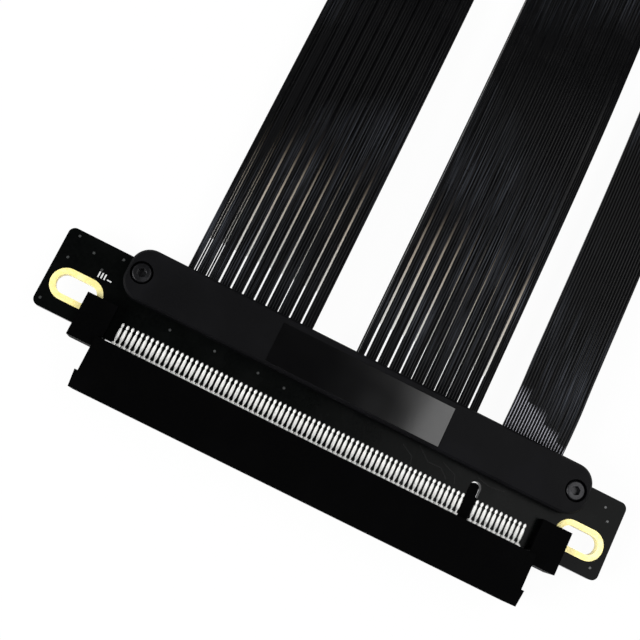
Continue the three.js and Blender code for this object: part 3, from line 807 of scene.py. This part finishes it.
@dataclass
class RigidParts:
    """Rigid pieces whose CAD shape is right: each is copied with rounded edges."""

    ends: tuple[str, ...] = ("", "plug_")

    def socket_end(self) -> list[bpy.types.Object]:
        """Housing, board, mounting slots and label of the socket end."""
        made = [
            eased_copy("socket_housing", "socket_housing_eased", MOULDED_BLACK, 0.15),
            eased_copy("socket_board", "socket_board_eased", SOLDER_MASK, 0.06, 0.3),
            eased_copy("label_plate", "label_eased", GLOSSY_LABEL, 0.04),
        ]
        for side in ("left", "right"):
            made.append(eased_copy(f"{side}_slot_plating", f"{side}_slot_ring", PALE_GOLD, 0.025, 0.2))
        return made

    def covers(self, end: str) -> list[bpy.types.Object]:
        """Covers, screws and nuts of one end.

        Args:
            end: prefix of the end's nodes.

        Returns:
            The pieces.
        """
        made = []
        for layer in Layer:
            node = f"{end}{layer.value}_cover"
            made.append(eased_copy(node, f"{node}_eased", MATT_COVER, 0.1, 0.5))
        for side in ("left", "right"):
            screw, nut = f"{end}{side}_screw", f"{end}{side}_nut"
            made.append(eased_copy(screw, f"{screw}_eased", BLACK_OXIDE, 0.06, 0.3))
            made.append(eased_copy(nut, f"{nut}_eased", ZINC, 0.08, 0.6))
        return made

    def joint_rows(self, end: str) -> list[bpy.types.Object]:
        """Rows of solder inside the covers of one end.

        Args:
            end: prefix of the end's nodes.

        Returns:
            The pieces.
        """
        rows = [f"{end}{strip}_joint_row"
                for strip in ("left_upper", "left_lower", "middle_upper", "middle_lower", "narrow_upper")]
        return [eased_copy(row, f"{row}_eased", SOLDERED_TIN, 0.1, 0.5) for row in rows]


@dataclass
class CardEdge:
    """The plug's card edge: gold fingers on both sides of the board."""

    groups: tuple[tuple[float, int], ...] = ((-41.5, 71), (31.5, 11))
    tip: float = 237.875
    finger: tuple[float, float] = (0.7, 5.6)
    back: float = 1.5
    board: Point = (3.6, 5.2)

    def fingers(self, layer: Layer) -> bpy.types.Object:
        """Fingers on one side.

        Args:
            layer: side of the board.

        Returns:
            The piece.
        """
        width, length = self.finger
        face = self.board[1] if layer is Layer.UPPER else self.board[0]
        z = (face, face + 0.03) if layer is Layer.UPPER else (face - 0.03, face)
        bm = bmesh.new()
        for start, count in self.groups:
            for i in range(count):
                x = start + i
                y = self.tip - self.back
                block(bm, (x - width / 2, x + width / 2), (y - length, y), z, 0.01)
        return finished(in_metres(bm), f"card_edge_{layer.value}_fingers", CONTACT_GOLD)

    def build(self) -> list[bpy.types.Object]:
        """Builds the plug board and its fingers and returns them."""
        return [eased_copy("plug_board", "plug_board_eased", SOLDER_MASK, 0.06, 0.3),
                *(self.fingers(layer) for layer in Layer)]


# Studio


@dataclass
class Studio:
    """Camera, floor and soft lights."""

    camera_place: tuple[float, float, float] = (-21.675, -16.934, 206.67)
    right: tuple[float, float, float] = (0.891131, 0.435798, 0.126359)
    down: tuple[float, float, float] = (0.449978, -0.884590, -0.122560)
    ahead: tuple[float, float, float] = (0.058365, 0.166076, -0.984384)
    focal_pixels: float = 1100.0
    frame_pixels: float = 640.0

    def camera(self) -> bpy.types.Object:
        """Sets the camera at the photograph's angle and returns it."""
        data = bpy.data.cameras.new("photo_camera")
        data.sensor_width = 36.0
        data.lens = self.focal_pixels / self.frame_pixels * data.sensor_width
        data.clip_start, data.clip_end = 0.005, 100.0
        camera = bpy.data.objects.new("photo_camera", data)
        axes = Matrix((self.right, [-v for v in self.down], [-v for v in self.ahead])).transposed()
        camera.matrix_world = Matrix.Translation(Vector(self.camera_place) * MM) @ axes.to_4x4()
        bpy.context.scene.collection.objects.link(camera)
        bpy.context.scene.camera = camera
        return camera

    def floor(self) -> bpy.types.Object:
        """A pale floor that looks white to the camera and keeps a faint shadow."""
        bm = bmesh.new()
        bmesh.ops.create_grid(bm, x_segments=1, y_segments=1, size=6.0)
        mesh = bpy.data.meshes.new("studio_floor")
        bm.to_mesh(mesh)
        bm.free()
        material = bpy.data.materials.new("pale_floor")
        material.use_nodes = True
        tree = material.node_tree
        tree.nodes.remove(tree.nodes["Principled BSDF"])
        diffuse = tree.nodes.new("ShaderNodeBsdfDiffuse")
        diffuse.inputs["Color"].default_value = (0.86, 0.86, 0.86, 1.0)
        glow = tree.nodes.new("ShaderNodeEmission")
        rays = tree.nodes.new("ShaderNodeLightPath")
        seen = tree.nodes.new("ShaderNodeMath")
        seen.operation = "MAXIMUM"
        tree.links.new(rays.outputs["Is Camera Ray"], seen.inputs[0])
        more = tree.nodes.new("ShaderNodeMath")
        more.operation = "MAXIMUM"
        tree.links.new(rays.outputs["Is Glossy Ray"], more.inputs[0])
        tree.links.new(rays.outputs["Is Transmission Ray"], more.inputs[1])
        tree.links.new(more.outputs[0], seen.inputs[1])
        share = tree.nodes.new("ShaderNodeMath")
        share.operation = "MULTIPLY"
        share.inputs[1].default_value = 0.96
        tree.links.new(seen.outputs[0], share.inputs[0])
        mix = tree.nodes.new("ShaderNodeMixShader")
        tree.links.new(share.outputs[0], mix.inputs[0])
        tree.links.new(diffuse.outputs[0], mix.inputs[1])
        tree.links.new(glow.outputs[0], mix.inputs[2])
        tree.links.new(mix.outputs[0], tree.nodes["Material Output"].inputs["Surface"])
        mesh.materials.append(material)
        floor = bpy.data.objects.new("studio_floor", mesh)
        bpy.context.scene.collection.objects.link(floor)
        return floor

    def softbox(self, name: str, place: tuple[float, float, float], aim: tuple[float, float, float],
                size: Point, radiance: float) -> bpy.types.Object:
        """Adds a rectangular soft light.

        Args:
            name: its name.
            place: its middle in metres.
            aim: point that it faces.
            size: its two sides in metres.
            radiance: how bright its face looks, where 1 is white.

        Returns:
            The light.
        """
        data = bpy.data.lights.new(name, "AREA")
        data.shape = "RECTANGLE"
        data.size, data.size_y = size
        data.energy = radiance * math.pi * size[0] * size[1]
        light = bpy.data.objects.new(name, data)
        towards = Vector(aim) - Vector(place)
        light.matrix_world = Matrix.Translation(place) @ towards.to_track_quat("-Z", "Y").to_matrix().to_4x4()
        bpy.context.scene.collection.objects.link(light)
        return light

    def world(self) -> None:
        """A sky that is bright at the horizon and dim overhead, so that flat black faces stay black."""
        world = bpy.data.worlds.new("studio_world")
        bpy.context.scene.world = world
        world.use_nodes = True
        tree = world.node_tree
        back = tree.nodes["Background"]
        place = tree.nodes.new("ShaderNodeTexCoord")
        split = tree.nodes.new("ShaderNodeSeparateXYZ")
        ramp = tree.nodes.new("ShaderNodeValToRGB")
        ramp.color_ramp.elements[0].position = 0.0
        ramp.color_ramp.elements[0].color = (0.95, 0.95, 0.95, 1.0)
        ramp.color_ramp.elements[1].position = 0.75
        ramp.color_ramp.elements[1].color = (0.06, 0.06, 0.062, 1.0)
        tree.links.new(place.outputs["Generated"], split.inputs[0])
        tree.links.new(split.outputs["Z"], ramp.inputs["Fac"])
        tree.links.new(ramp.outputs["Color"], back.inputs["Color"])

    def build(self) -> None:
        """Sets up the floor, the lights and the world."""
        self.floor()
        self.softbox("key_softbox", (0.262, 0.16, 0.5), (0.262, 0.16, 0.0), (0.32, 0.60), 3.6)
        self.softbox("fill_softbox", (-0.45, -0.25, 0.38), (0.0, 0.02, 0.0), (0.35, 0.35), 12.0)
        self.world()
        bpy.context.scene.view_settings.view_transform = "Standard"


def main() -> None:
    """Builds the scene: camera and ribbons first, then every other piece and the studio."""
    logging.basicConfig(level=logging.INFO, format="%(message)s")
    studio = Studio()
    studio.camera()
    cords = [(ribbon, ribbon.build()) for ribbon in ribbons()]
    rigid = RigidParts()
    plug = [*CardEdge().build(), *rigid.covers("plug_"), *rigid.joint_rows("plug_")]
    for ribbon, piece in cords:
        ribbon.declare(piece, plug)
    others = [*rigid.socket_end(), *rigid.covers(""), *rigid.joint_rows(""), *ContactRow().build(),
              *BoardMarks().build()]
    studio.build()
    for piece in [*(piece for _, piece in cords), *plug, *others]:
        log.info("%s: %d faces", piece.name, len(piece.data.polygons))


if __name__ == "__main__":
    main()
